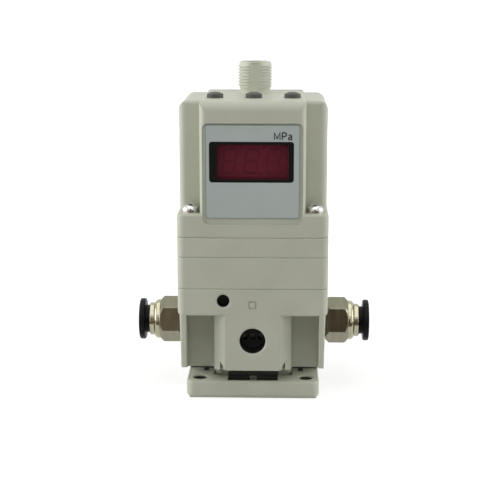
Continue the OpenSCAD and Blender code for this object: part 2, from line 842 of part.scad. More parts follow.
// Ring of points round a coil's wire at one angle of the helix
function coil_ring(turn, r, wire, z, sides) =
  [for (i = [0:sides - 1])
    let (a = 360 * i / sides, out = r + wire / 2 * cos(a))
    [out * cos(turn), out * sin(turn), z + wire / 2 * sin(a)]];

module coil(r, wire, length, turns, sides = 8, steps_per_turn = 20) {
  steps = round(turns * steps_per_turn);
  rise = length - wire;
  points = [for (s = [0:steps])
    each coil_ring(360 * turns * s / steps, r, wire, wire / 2 + rise * s / steps, sides)];
  sleeve = [for (s = [0:steps - 1], i = [0:sides - 1])
    let (a = s * sides + i, b = s * sides + (i + 1) % sides)
    each [[a, a + sides, b], [b, a + sides, b + sides]]];
  start = [for (i = [0:sides - 1]) i];
  end = [for (i = [sides - 1:-1:0]) steps * sides + i];
  polyhedron(points, concat(sleeve, [start, end]));
}

module valve_spring() {
  color(steel_colour) translate([0, 0, z_spring])
    coil(spring_r, spring_wire, z_head - z_spring, spring_turns);
}

module main_valve() {
  color(brass_colour) difference() {
    union() {
      translate([0, 0, z_tail]) cylinder(d = valve_tail_d, h = z_head - z_tail + over / 2);
      translate([0, 0, z_head]) cylinder(d = valve_head_d, h = valve_head_t - valve_rim_t);
    }
    translate([0, 0, z_tail - over]) cylinder(d = valve_bore_d, h = z_seat - z_tail + 2 * over);
    translate([0, 0, z_seat - valve_seal_t])
      cylinder(d = valve_head_d - 2 * valve_rim_t, h = valve_seal_t);
  }
}

module valve_seal() {
  color(rubber_colour) translate([0, 0, z_seat - valve_seal_t])
    ring(valve_head_d - 2 * valve_rim_t - 2 * run_gap, valve_bore_d, valve_seal_t);
}

// Diaphragm

module diaphragm() {
  roll_r = convolution_r + diaphragm_t / 2;
  color(rubber_colour) translate([0, 0, z_body - rim_t]) rotate_extrude() {
    difference() {
      translate([stud_d / 2 + run_gap, 0])
        square([(diaphragm_d - stud_d) / 2 - run_gap, diaphragm_t]);
      translate([convolution_mid, -over])
        square([2 * convolution_r - diaphragm_t, 4 * over], center = true);
    }
    translate([convolution_mid, 0]) intersection() {
      difference() {
        circle(roll_r);
        circle(roll_r - diaphragm_t);
      }
      translate([-roll_r, 0]) square([2 * roll_r, roll_r]);
    }
  }
}

module lower_diaphragm_disc() {
  z_disc = z_body - rim_t - disc_t;
  stud_l = disc_t + diaphragm_t + disc_t + nut_t;
  color(steel_colour) {
    translate([0, 0, z_disc]) cylinder(d = disc_d, h = disc_t);
    translate([0, 0, z_disc]) cylinder(d = stud_d, h = stud_l);
    translate([0, 0, z_seat]) cylinder(d = stem_d, h = z_disc - z_seat + disc_t / 2);
  }
}

module upper_diaphragm_disc() {
  color(steel_colour) translate([0, 0, z_body + rim_t]) ring(disc_d, stud_d + 2 * run_gap, disc_t);
}

module diaphragm_nut() {
  color(steel_colour) translate([0, 0, z_nut]) difference() {
    cylinder(d = nut_af / cos(30), h = nut_t, $fn = 6);
    translate([0, 0, -over]) cylinder(d = stud_d + 2 * thread_gap, h = nut_t + 2 * over);
  }
}

// Bonnet and pilot plate

// Holes that carry on from layer to layer, from the bonnet's foot to a level
module layer_holes(h) {
  at_corners(tie_x, tie_y) cylinder(d = screw_d + 2 * hole_gap, h = h);
  translate([-pilot_port_x, -pilot_drop_y, 0]) cylinder(d = plate_hole_d, h = h);
  for (s = [-1, 1]) translate([s * valve_x, valve_y, 0]) cylinder(d = plate_hole_d, h = h);
}

module bonnet() {
  gasket_w = body_w - 2 * gasket_inset;
  color(casting_colour) difference() {
    translate([0, 0, z_body]) slab(body_w, body_w, bonnet_h, corner_r, seam_r, seam_r);
    translate([0, 0, z_body - over]) cylinder(d = pressure_d, h = upper_chamber_h + over);
    translate([0, 0, z_body - over]) cylinder(d = diaphragm_d + 2 * run_gap, h = rim_t + over);
    translate([0, 0, z_body - over]) layer_holes(bonnet_h + 2 * over);
    translate([0, 0, z_bonnet - gasket_t]) linear_extrude(gasket_t + over)
      rounded_rect(gasket_w + 2 * run_gap, gasket_w + 2 * run_gap, corner_r);
  }
}

module bonnet_gasket() {
  gasket_w = body_w - 2 * gasket_inset;
  color(rubber_colour) difference() {
    translate([0, 0, z_bonnet - gasket_t]) linear_extrude(gasket_t)
      rounded_rect(gasket_w, gasket_w, corner_r);
    translate([0, 0, z_bonnet - over]) layer_holes(2 * over);
  }
}

// Plan of the cover's seal, which runs round the cover's cavity
module cover_gasket_plan(gap) {
  difference() {
    offset_in = wall_t - cover_gasket_w - fit_gap;
    cross_plan(tower_w - 2 * offset_in + 2 * gap, body_w - 2 * offset_in + 2 * gap,
      side_w - 2 * offset_in + 2 * gap, side_d - 2 * offset_in + 2 * gap);
    inner = wall_t - fit_gap;
    cross_plan(tower_w - 2 * inner - 2 * gap, body_w - 2 * inner - 2 * gap,
      side_w - 2 * inner - 2 * gap, side_d - 2 * inner - 2 * gap);
  }
}

// Slot in the pilot plate that a board stands in
module board_slot(y) {
  translate([-board_w / 2 - fit_gap, y - fit_gap / 2, z_plate - slot_d])
    cube([board_w + 2 * fit_gap, board_t + fit_gap, slot_d + over]);
}

module pilot_plate() {
  color(casting_colour) difference() {
    translate([0, 0, z_bonnet]) slab(body_w, body_w, plate_h, corner_r, seam_r, seam_r);
    translate([0, 0, z_bonnet - over]) layer_holes(plate_h + 2 * over);
    at_corners(tie_x, tie_y) translate([0, 0, z_plate - head_sink])
      cylinder(d = head_d + 2 * hole_gap, h = head_sink + over);
    at_corners(cover_screw_xy, cover_screw_xy) translate([0, 0, z_ledge - cover_thread_l - fit_gap])
      cylinder(d = screw_d + 2 * thread_gap, h = plate_h);
    translate([0, 0, z_plate - cover_gasket_t]) linear_extrude(cover_gasket_t + over)
      cover_gasket_plan(run_gap);
    board_slot(display_board_y);
    board_slot(control_board_y);
    translate([0, sensor_y, z_plate - sensor_nozzle_l - fit_gap])
      cylinder(d = sensor_nozzle_d + 2 * run_gap, h = sensor_nozzle_l + fit_gap + over);
    for (sx = [-1, 1], sy = [-1, 1])
      translate([sx * valve_x, valve_y + sy * pilot_screw_y, z_plate - pilot_screw_l])
        cylinder(d = pilot_screw_d + 2 * thread_gap, h = pilot_screw_l + over);
  }
}

module tie_screws() {
  color(steel_colour) at_corners(tie_x, tie_y)
    translate([0, 0, z_plate - head_sink]) socket_screw(z_plate - head_sink - z_tie_tip);
}

// Small solenoid valve on the pilot plate
module pilot_valve(x) {
  z_coil = pilot_base_h + pilot_coil_h;
  color(solenoid_colour) translate([x, valve_y, z_plate]) difference() {
    union() {
      translate([-pilot_valve_w / 2, -pilot_base_l / 2, 0])
        cube([pilot_valve_w, pilot_base_l, pilot_base_h]);
      translate([-pilot_valve_w / 2, -pilot_coil_l / 2, 0]) cube([pilot_valve_w, pilot_coil_l, z_coil]);
      translate([0, 0, pilot_base_h]) cylinder(d = pilot_core_d, h = pilot_coil_h + pilot_core_rise);
      for (s = [-1, 1]) translate([s * terminal_x - terminal_w / 2, terminal_y, z_coil - over])
        cube([terminal_w, terminal_w, terminal_l + over]);
    }
    translate([0, 0, -over]) cylinder(d = plate_hole_d, h = pilot_base_h);
    for (s = [-1, 1]) translate([0, s * pilot_screw_y, -over])
      cylinder(d = pilot_screw_d + 2 * hole_gap, h = pilot_base_h + 2 * over);
  }
}

module supply_pilot_valve() { pilot_valve(valve_x); }

module exhaust_pilot_valve() { pilot_valve(-valve_x); }

module pilot_valve_screws() {
  color(steel_colour) for (sx = [-1, 1], sy = [-1, 1])
    translate([sx * valve_x, valve_y + sy * pilot_screw_y, z_plate + pilot_base_h]) {
      cylinder(d = pilot_head_d, h = pilot_head_h);
      translate([0, 0, fit_gap - pilot_base_h - pilot_screw_l])
        cylinder(d = pilot_screw_d, h = pilot_base_h + pilot_screw_l - fit_gap);
    }
}

module pressure_sensor() {
  color(steel_colour) translate([0, sensor_y, z_plate]) {
    cylinder(d = sensor_d, h = sensor_h);
    translate([0, 0, -sensor_nozzle_l]) cylinder(d = sensor_nozzle_d, h = sensor_nozzle_l + over);
  }
}

// Boards

// Board that stands in a slot of the pilot plate, with its front face at y
module upright_board(y) {
  translate([-board_w / 2, y, z_plate - slot_d])
    cube([board_w, board_t, z_switch_board - z_plate + slot_d]);
}

module control_board() {
  color(board_colour) {
    upright_board(control_board_y);
    for (c = chips) translate([c.x - c[2] / 2, control_board_y - chip_t, z_plate + c.y])
      cube([c[2], chip_t + board_t / 2, c[2]]);
  }
}

module display_board() {
  color(board_colour) upright_board(display_board_y);
}

module switch_board() {
  y0 = display_board_y;
  y1 = control_board_y + board_t;
  color(board_colour) translate([-button_pitch - tact_w / 2, y0, z_switch_board])
    cube([2 * button_pitch + tact_w, y1 - y0, board_t]);
}

module tact_switch(x) {
  color(black_colour) translate([x, -button_y, z_switch_board + board_t]) {
    translate([-tact_w / 2, -tact_w / 2, 0]) cube([tact_w, tact_w, tact_h - tact_plunger_h]);
    cylinder(d = tact_plunger_d, h = tact_h);
  }
}

module left_tact_switch() { tact_switch(-button_pitch); }

module middle_tact_switch() { tact_switch(0); }

module right_tact_switch() { tact_switch(button_pitch); }

// Display, window and label

// Box centred on the window, from one depth to another
module window_box(x, w, h, y0, y1) {
  translate([x - w / 2, y0, z_window - h / 2]) cube([w, y1 - y0, h]);
}

// The same with round corners
module window_panel(w, h, r, y0, y1) {
  translate([window_x, y1, z_window]) rotate([90, 0, 0]) linear_extrude(y1 - y0) rounded_rect(w, h, r);
}

// Hole for the window, through the label and the cover
module window_hole() {
  window_panel(window_w + 2 * run_gap, window_h + 2 * run_gap, window_r + run_gap,
    front_y - over, wall_y + over);
}

module display_module() {
  color(black_colour) window_box(lens_x, lens_w + 2 * module_margin, lens_h + 2 * module_margin,
    bezel_y, display_board_y);
}

module window_lens() {
  color(lens_colour) window_box(lens_x, lens_w + 2 * lens_lap, lens_h + 2 * lens_lap,
    bezel_y - lens_gap - lens_t, bezel_y - lens_gap);
}

module window_bezel() {
  seat_w = lens_w + 2 * lens_lap + 2 * run_gap;
  seat_h = lens_h + 2 * lens_lap + 2 * run_gap;
  color(black_colour) difference() {
    union() {
      window_panel(window_w, window_h, window_r, recess_y - bezel_proud, bezel_y);
      window_box(window_x, window_w + 2 * bezel_flange_w, window_h + 2 * bezel_flange_w,
        wall_y, bezel_y);
    }
    window_box(lens_x, lens_w, lens_h, front_y - over, bezel_y + over);
    window_box(lens_x, seat_w, seat_h, bezel_y - lens_gap - lens_t, bezel_y + over);
  }
}

// Upright sheet parallel to the front, larger than the label beside, above and below it
module label_sheet(margin, head, foot, y, t) {
  h = label_h + head + foot;
  translate([0, y + t, z_plate + label_rise - foot + h / 2]) rotate([90, 0, 0]) linear_extrude(t)
    rounded_rect(label_w + 2 * margin, h, label_r + margin);
}

module label_plate() {
  color(label_colour) difference() {
    label_sheet(0, 0, 0, recess_y - label_t, label_t);
    window_hole();
  }
}

// Cover

// Side view of a block with round upper edges, standing on the X axis
module block_profile(w, h, r) {
  translate([-w / 2, 0]) square([w, h - r]);
  translate([-w / 2 + r, 0]) square([w - 2 * r, h]);
  for (s = [-1, 1]) translate([s * (w / 2 - r), h - r]) circle(r);
}

// Block of the cover with round upright edges, and round upper edges at its sides and ends
module cover_block(w, d, h, side_r, end_r) {
  translate([0, 0, z_plate]) intersection() {
    linear_extrude(h) rounded_rect(w, d, cover_corner_r);
    rotate([90, 0, 0]) linear_extrude(d, center = true) block_profile(w, h, side_r);
    rotate([90, 0, 90]) linear_extrude(w, center = true) block_profile(d, h, end_r);
  }
}

module cover() {
  color(casting_colour) difference() {
    union() {
      cover_block(tower_w, body_w, cover_h, inner_edge_r, cover_edge_r);
      cover_block(side_w, side_d, cover_h - side_drop, cover_edge_r, inner_edge_r);
      translate([0, 0, z_plate]) slab(body_w, body_w, flange_h, corner_r, block_edge_r, seam_r);
    }
    translate([0, 0, z_plate - over]) linear_extrude(z_ceiling - z_plate + over)
      cross_plan(cavity_tower_w, cavity_tower_d, cavity_side_w, cavity_side_d);
    label_sheet(recess_margin, recess_head, recess_foot, front_y - over, recess_d + over);
    window_hole();
    at_corners(cover_screw_xy, cover_screw_xy) translate([0, 0, z_plate - over])
      cylinder(d = screw_d + 2 * hole_gap, h = flange_h + 2 * over);
    translate([-tower_w / 2, -field_y0, z_roof - field_d]) cube([tower_w, 2 * field_y0, over]);
    for (i = [-1:1]) translate([i * button_pitch, -button_y, z_ceiling - over])
      cylinder(d = button_hole_d, h = roof_t + 2 * over);
    translate([0, connector_y, z_ceiling - over])
      cylinder(d = connector_d + 2 * run_gap, h = roof_t + 2 * over);
  }
}

module cover_gasket() {
  color(rubber_colour) translate([0, 0, z_plate - cover_gasket_t]) linear_extrude(cover_gasket_t)
    cover_gasket_plan(0);
}

// Pan head screws with a cross recess
module cover_screws() {
  color(steel_colour) at_corners(cover_screw_xy, cover_screw_xy) translate([0, 0, z_ledge]) {
    difference() {
      round_end(head_d, pan_head_h, pan_head_r);
      for (turn = [0, 90]) rotate(turn) translate([-cross_l / 2, -cross_w / 2, pan_head_h / 2])
        cube([cross_l, cross_w, pan_head_h]);
    }
    translate([0, 0, -cover_thread_l]) cylinder(d = screw_d, h = cover_thread_l);
  }
}

// Buttons

module button(x) {
  z_flange = z_ceiling - button_flange_t;
  side_h = z_roof + button_rise - button_crown_h - z_flange;
  color(button_colour) translate([x, -button_y, z_flange]) {
    cylinder(d = button_d + 2 * button_flange_w, h = button_flange_t);
    cylinder(d = button_d, h = side_h);
    translate([0, 0, side_h]) cylinder(d1 = button_d, d2 = button_crown_d, h = button_crown_h);
  }
}

module left_button() { button(-button_pitch); }

module middle_button() { button(0); }

module right_button() { button(button_pitch); }

// Connector

module connector_shell() {
  key_w = 1;
  key_h = 0.5;
  color(casting_colour) translate([0, connector_y, 0]) {
    difference() {
      union() {
        translate([0, 0, z_connector]) cylinder(d = connector_flange_d, h = connector_flange_t);
        translate([0, 0, z_connector]) cylinder(d = connector_d, h = z_roof - z_connector);
        translate([0, 0, z_roof - over]) cylinder(d = neck_d, h = z_neck - z_roof + 2 * over);
        translate([0, 0, z_neck]) cylinder(d = connector_d, h = thread_h);
        translate([0, 0, z_thread]) cylinder(d1 = connector_d, d2 = lead_d, h = lead_h);
      }
      translate([0, 0, z_connector - over])
        cylinder(d = socket_d, h = z_connector_top - z_connector + 2 * over);
    }
    translate([-key_w / 2, socket_d / 2 - key_h, z_neck + over]) cube([key_w, 2 * key_h, thread_h]);
  }
}

module connector_gasket() {
  color(rubber_colour) translate([0, connector_y, z_ceiling - connector_gasket_t])
    ring(connector_flange_d, connector_d + 2 * run_gap, connector_gasket_t);
}

// Places for the contact pins
module at_pins() {
  for (i = [0:3]) rotate(45 + 90 * i) translate([pin_circle_d / 2, 0, 0]) children();
}

module connector_insert() {
  color(black_colour) translate([0, connector_y, 0]) difference() {
    union() {
      translate([0, 0, z_connector - over])
        cylinder(d = socket_d - 2 * run_gap, h = z_roof + insert_rise - z_connector + over);
      translate([0, 0, z_connector - insert_flange_t]) cylinder(d = connector_d, h = insert_flange_t);
    }
    at_pins() translate([0, 0, z_connector - insert_flange_t - over])
      cylinder(d = pin_d + 2 * thread_gap,
        h = z_roof + insert_rise - z_connector + insert_flange_t + 2 * over);
  }
}

module connector_pins() {
  color(brass_colour) translate([0, connector_y, z_connector - insert_flange_t - pin_tail]) at_pins()
    cylinder(d = pin_d, h = z_roof + pin_rise - z_connector + insert_flange_t + pin_tail);
}

// Tube fittings

// Hexagon with both ends chamfered
module chamfered_hex(af, l, chamfer) {
  corner_d = af / cos(30);
  intersection() {
    cylinder(d = corner_d, h = l, $fn = 6);
    rotate_extrude() polygon([[0, 0], [corner_d / 2 - chamfer, 0], [corner_d / 2, chamfer],
      [corner_d / 2, l - chamfer], [corner_d / 2 - chamfer, l], [0, l]]);
  }
}

module fitting() {
  color(nickel_colour) from_side() difference() {
    union() {
      translate([0, 0, -stem_l]) cylinder(d = port_d - 2 * run_gap, h = stem_l + u_hex + over);
      translate([0, 0, u_hex]) rotate(-hex_turn) chamfered_hex(hex_af, hex_l, hex_chamfer);
      translate([0, 0, u_shoulder - over]) round_end(shoulder_d, shoulder_l + over, shoulder_edge_r);
      translate([0, 0, u_nose - over]) round_end(nose_d, nose_l + over, nose_edge_r);
    }
    translate([0, 0, -stem_l - over]) cylinder(d = air_way_d, h = stem_l + u_hex + over);
    translate([0, 0, u_tube_stop]) cylinder(d = tube_bore_d, h = u_mouth);
    translate([0, 0, u_chamber]) cylinder(d = chamber_fit_d, h = u_lip - u_chamber);
    translate([0, 0, u_lip - over / 2]) cylinder(d = neck_collar_d + 2 * run_gap, h = lip_l + over);
  }
}

module release_collar() {
  color(black_colour) from_side() difference() {
    union() {
      translate([0, 0, u_barb]) cylinder(d = barb_d, h = barb_l);
      translate([0, 0, u_barb]) cylinder(d = neck_collar_d, h = u_collar_end - u_barb);
      translate([0, 0, u_flange + collar_t / 2]) for (m = [0, 1]) mirror([0, 0, m])
        round_end(collar_d, collar_t / 2, nose_edge_r);
    }
    translate([0, 0, u_barb - over]) cylinder(d = tube_way_d, h = u_collar_end - u_barb + 2 * over);
    translate([0, 0, u_collar_end - nose_edge_r])
      cylinder(d1 = tube_way_d, d2 = tube_way_d + 2 * nose_edge_r, h = nose_edge_r);
  }
}

module collet() {
  slots = 6;
  slot_w = 0.6;
  color(steel_colour) from_side() translate([0, 0, u_chamber + tube_seal_l]) difference() {
    ring(barb_d, tube_way_d, collet_l);
    for (i = [0:slots - 1]) rotate(i * 360 / slots)
      translate([0, -slot_w / 2, collet_l / 3]) cube([barb_d, slot_w, collet_l]);
  }
}

module tube_seal() {
  color(rubber_colour) from_side() translate([0, 0, u_chamber]) ring(barb_d, tube_way_d, tube_seal_l);
}

module face_seal() {
  color(rubber_colour) from_side()
    ring(hex_af - 2 * hex_chamfer, port_d + 2 * port_chamfer, face_seal_t);
}

module left() { mirror([1, 0, 0]) children(); }

module left_fitting() { left() fitting(); }

module left_release_collar() { left() release_collar(); }

module left_collet() { left() collet(); }

module left_tube_seal() { left() tube_seal(); }

module left_face_seal() { left() face_seal(); }

module right_fitting() { fitting(); }

module right_release_collar() { release_collar(); }

module right_collet() { collet(); }

module right_tube_seal() { tube_seal(); }

module right_face_seal() { face_seal(); }

mounting_base();
base_screws();
main_body();
valve_cap();
valve_cap_seals();
valve_spring();
main_valve();
valve_seal();
diaphragm();
lower_diaphragm_disc();
upper_diaphragm_disc();
diaphragm_nut();
bonnet();
bonnet_gasket();
pilot_plate();
tie_screws();
supply_pilot_valve();
exhaust_pilot_valve();
pilot_valve_screws();
pressure_sensor();
control_board();
display_board();
switch_board();
left_tact_switch();
middle_tact_switch();
right_tact_switch();
display_module();
window_lens();
window_bezel();
label_plate();
left_button();
middle_button();
right_button();
connector_shell();
connector_gasket();
connector_insert();
connector_pins();
cover();
cover_gasket();
cover_screws();
left_fitting();
left_release_collar();
left_collet();
left_tube_seal();
left_face_seal();
right_fitting();
right_release_collar();
right_collet();
right_tube_seal();
right_face_seal();
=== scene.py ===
import json
import math

import bmesh
import bpy
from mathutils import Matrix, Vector

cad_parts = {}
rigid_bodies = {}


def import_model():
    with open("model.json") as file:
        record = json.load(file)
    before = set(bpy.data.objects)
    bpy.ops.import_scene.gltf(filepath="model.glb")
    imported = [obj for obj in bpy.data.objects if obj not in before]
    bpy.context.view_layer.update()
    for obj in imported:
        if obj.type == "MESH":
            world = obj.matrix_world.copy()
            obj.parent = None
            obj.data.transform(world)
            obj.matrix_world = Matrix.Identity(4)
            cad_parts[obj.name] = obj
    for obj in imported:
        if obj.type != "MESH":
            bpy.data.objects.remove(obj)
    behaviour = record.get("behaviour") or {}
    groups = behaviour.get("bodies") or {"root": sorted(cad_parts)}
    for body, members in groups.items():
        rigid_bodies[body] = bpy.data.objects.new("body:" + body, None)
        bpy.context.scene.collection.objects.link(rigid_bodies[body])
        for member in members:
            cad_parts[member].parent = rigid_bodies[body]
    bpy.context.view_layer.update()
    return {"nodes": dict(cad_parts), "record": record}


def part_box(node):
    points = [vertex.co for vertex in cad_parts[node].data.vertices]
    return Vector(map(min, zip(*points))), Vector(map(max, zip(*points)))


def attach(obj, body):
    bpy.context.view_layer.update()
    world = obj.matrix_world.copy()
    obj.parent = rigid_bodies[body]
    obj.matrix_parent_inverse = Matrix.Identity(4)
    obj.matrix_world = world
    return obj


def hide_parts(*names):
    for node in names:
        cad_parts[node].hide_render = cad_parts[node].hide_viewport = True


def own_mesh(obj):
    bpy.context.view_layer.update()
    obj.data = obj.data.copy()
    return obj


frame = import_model()
nodes = frame["nodes"]
record = frame["record"]
mounts = {mount["name"]: mount for mount in record["mounts"]}
MM = 0.001
WHITE = (1, 1, 1, 1)


def srgb(r, g, b):
    """Linear RGBA from 8-bit sRGB numbers."""
    def linear(c):
        c /= 255
        return c / 12.92 if c <= 0.04045 else ((c + 0.055) / 1.055) ** 2.4
    return (linear(r), linear(g), linear(b), 1.0)


def box_mm(node):
    """A node's lowest and highest corners in millimetres."""
    low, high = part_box(node)
    return low / MM, high / MM


# Sizes in millimetres that more than one piece or surface needs

# Height of the base's upper face, and half the width of its flat
BASE_TOP = box_mm("mounting_base")[1].z
BASE_FLAT = box_mm("mounting_base")[1].x - 1.0
# Half the width of the base's pockets, and of what the body's foot shows above them
POCKET_X = 8.6
# Half the depth of the body's core, and the height of its lower edge
CORE_Y = 13.4
CORE_LOW = 8.55


# Materials

class Nodes:
    """A node tree, with short forms that add nodes and link them."""

    def __init__(self, tree):
        self.tree = tree

    def feed(self, socket, value):
        """Links a socket to another one, or sets its value."""
        if isinstance(value, bpy.types.NodeSocket):
            self.tree.links.new(value, socket)
        else:
            socket.default_value = value

    def node(self, kind, inputs=None, **settings):
        """Adds a node. Each input is a value or the socket that feeds it."""
        made = self.tree.nodes.new("ShaderNode" + kind)
        for key, value in settings.items():
            setattr(made, key, value)
        for key, value in (inputs or {}).items():
            self.feed(made.inputs[key], value)
        return made

    def maths(self, operation, *values):
        return self.node("Math", dict(enumerate(values)), operation=operation).outputs["Value"]

    def vector(self, operation, *values):
        return self.node("VectorMath", dict(enumerate(values)), operation=operation).outputs["Vector"]

    def axes(self, vector):
        return self.node("SeparateXYZ", {"Vector": vector}).outputs

    def scaled(self, value, low, high, start=0.0, end=1.0):
        """Goes from low to high as a value goes from start to end."""
        inputs = {"Value": value, "From Min": start, "From Max": end, "To Min": low, "To Max": high}
        return self.node("MapRange", inputs).outputs["Result"]

    def backdrop(self, shown, other):
        """One shader for camera, glossy and transmission rays and another for the rest."""
        rays = self.node("LightPath").outputs
        seen = self.maths("MAXIMUM", rays["Is Camera Ray"], rays["Is Glossy Ray"])
        seen = self.maths("MAXIMUM", seen, rays["Is Transmission Ray"])
        return self.node("MixShader", {"Fac": seen, 1: other, 2: shown}).outputs["Shader"]


class Material(Nodes):
    """A new material and its nodes, with object coordinates in metres."""

    def __init__(self, name):
        self.material = bpy.data.materials.new(name)
        self.material.use_nodes = True
        super().__init__(self.material.node_tree)
        self.coords = self.node("TexCoord").outputs["Object"]

    def show(self, shader):
        """Shows a shader in place of the first one."""
        self.tree.nodes.remove(self.tree.nodes["Principled BSDF"])
        self.feed(self.tree.nodes["Material Output"].inputs["Surface"], shader)


class Surface(Material):
    """A Principled material with helpers for its procedural nodes."""

    def __init__(self, name, roughness, metallic=0.0, **sockets):
        super().__init__(name)
        self.shader = self.tree.nodes["Principled BSDF"]
        self.shader.inputs["Roughness"].default_value = roughness
        self.shader.inputs["Metallic"].default_value = metallic
        for key, value in sockets.items():
            self.shader.inputs[key.replace("_", " ")].default_value = value

    def noise(self, scale, detail, stretch=None):
        """Noise about 0.5, drawn out along the axes where stretch is given."""
        coords = self.coords
        if stretch:
            coords = self.node("Mapping", {"Vector": coords, "Scale": stretch}).outputs["Vector"]
        return self.node("TexNoise", {"Vector": coords, "Scale": scale, "Detail": detail}).outputs["Fac"]

    def ramp(self, value, dark, light, start=0.3):
        """Goes from dark to light as a value goes from start to as far short of 1."""
        made = self.node("ValToRGB", {"Fac": value})
        stops = ((start, dark), (1 - start, light))
        for element, (place, colour) in zip(made.color_ramp.elements, stops):
            element.position = place
            element.color = colour
        return made.outputs["Color"]

    def within(self, tone, reach, limit, other):
        """Puts another tone in place of one where a distance is under a limit."""
        inside = self.maths("LESS_THAN", reach, limit)
        mix = self.node("Mix", {"Factor": inside, "A": tone, "B": other}, data_type="RGBA")
        return mix.outputs["Result"]

    def tone_box(self, tone, low, high, other):
        """Gives what lies between two corners, in millimetres, another tone.

        The box is mirrored over both upright middle planes.
        """
        low, high = Vector(low) * MM, Vector(high) * MM
        middle, half = (high + low) / 2, (high - low) / 2
        offset = self.vector("SUBTRACT", self.vector("ABSOLUTE", self.coords), middle)
        share = self.axes(self.vector("DIVIDE", self.vector("ABSOLUTE", offset), half))
        reach = self.maths("MAXIMUM", self.maths("MAXIMUM", share["X"], share["Y"]), share["Z"])
        return self.within(tone, reach, 1.0, other)

    def colour(self, value):
        self.feed(self.shader.inputs["Base Color"], value)

    def rough(self, value, low, high):
        """Roughness from low to high, as a value between 0 and 1 says."""
        self.feed(self.shader.inputs["Roughness"], self.scaled(value, low, high))

    def bump(self, height, depth, strength, edge=0.0):
        """Bump of a depth in millimetres, over edges rounded by a Bevel node where edge is given."""
        inputs = {"Height": height, "Distance": depth * MM, "Strength": strength}
        if edge:
            inputs["Normal"] = self.node("Bevel", {"Radius": edge * MM}, samples=6).outputs["Normal"]
        self.feed(self.shader.inputs["Normal"], self.node("Bump", inputs).outputs["Normal"])


def mottled(name, dark, light, patch, grain, roughness, spread, depth, edge, boxes=(), **sockets):
    """Surface whose colour drifts between two tones, with a fine grain in its bump and gloss.

    patch and grain are noise scales, and depth and edge are in millimetres.
    """
    surface = Surface(name, roughness, **sockets)
    tone = surface.ramp(surface.noise(patch, detail=4), dark, light, start=0.35)
    # Each box paints another tone in its place; the boxes given here are painted shade and painted light
    for box in boxes:
        tone = surface.tone_box(tone, *box)
    surface.colour(tone)
    fine = surface.noise(grain, detail=2)
    surface.rough(fine, roughness - spread, roughness + spread)
    surface.bump(fine, depth, 1.0, edge)
    return surface.material


def metal_lines(surface, roughness, stretch, edge):
    """Fine turning or drawing lines in a metal's bump and gloss."""
    spread = 0.05
    lines = surface.noise(scale=900, detail=3, stretch=stretch)
    surface.rough(lines, roughness - spread, roughness + spread)
    surface.bump(lines, depth=0.004, strength=0.6, edge=edge)
    return lines


def drawn_metal(name, dark, light, roughness, stretch, edge):
    surface = Surface(name, roughness, metallic=1.0)
    surface.colour(surface.ramp(metal_lines(surface, roughness, stretch, edge), dark, light))
    return surface.material


def nickel_surface():
    """Nickel plate, lighter on the turned end past the fitting's hexagon: a painted sheen for that end's
    bright highlights.
    """
    roughness, turned_length = 0.17, 3.8
    surface = Surface("nickel", roughness, metallic=1.0)
    lines = metal_lines(surface, roughness, stretch=(1, 0.15, 0.15), edge=0.2)
    # Painted sheen: the turned end gets a lighter tone than the hexagon
    painted_sheen = surface.ramp(lines, srgb(160, 157, 134), srgb(176, 172, 149))
    hexagon = surface.ramp(lines, srgb(126, 124, 104), srgb(140, 137, 117))
    sideways = surface.axes(surface.vector("ABSOLUTE", surface.coords))["X"]
    hexagon_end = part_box("right_fitting")[1].x - turned_length * MM
    surface.colour(surface.within(painted_sheen, sideways, hexagon_end, hexagon))
    return surface.material


def label_surface():
    """Silver printed foil."""
    surface = Surface("label", roughness=0.42)
    patches = surface.noise(scale=45, detail=3)
    surface.colour(surface.ramp(patches, srgb(178, 188, 184), srgb(184, 193, 189)))
    brushed = surface.noise(scale=1800, detail=2, stretch=(0.08, 1, 1))
    surface.rough(brushed, low=0.36, high=0.5)
    surface.bump(brushed, depth=0.003, strength=0.5)
    return surface.material


def lens_surface():
    """Dark red acrylic that lets a little of the display through."""
    surface = Surface("lens_red", roughness=0.12, Alpha=0.45, IOR=1.49, Specular_IOR_Level=0.2)
    patches = surface.noise(scale=120, detail=2)
    surface.colour(surface.ramp(patches, srgb(112, 38, 52), srgb(118, 41, 56)))
    haze = surface.noise(scale=700, detail=2)
    surface.rough(haze, low=0.08, high=0.16)
    surface.bump(haze, depth=0.002, strength=0.3)
    return surface.material


def board_surface():
    """Green solder mask with faint copper tracks under it."""
    surface = Surface("circuit_board", roughness=0.35)
    inputs = {"Vector": surface.coords, "Scale": 260, "Mortar Size": 0.06, "Color1": srgb(24, 82, 50),
              "Color2": srgb(20, 74, 46), "Mortar": srgb(52, 122, 70)}
    tracks = surface.node("TexBrick", inputs, offset=0.5)
    surface.colour(tracks.outputs["Color"])
    surface.rough(surface.noise(scale=1500, detail=2), low=0.28, high=0.45)
    surface.bump(tracks.outputs["Fac"], depth=0.02, strength=0.6)
    return surface.material


def port_box(name, tone):
    """The inside of a port, by its mount in the record, with a tone of painted shade."""
    around, past_end = 0.12, 0.05
    mount = mounts[name]
    middle = Vector([abs(v) / MM for v in mount["pos_m"]])
    reach = mount["dims"]["r_mm"] + around
    half = Vector((reach, mount["dims"]["length_mm"] / 2 + past_end, reach))
    return middle - half, middle + half, tone


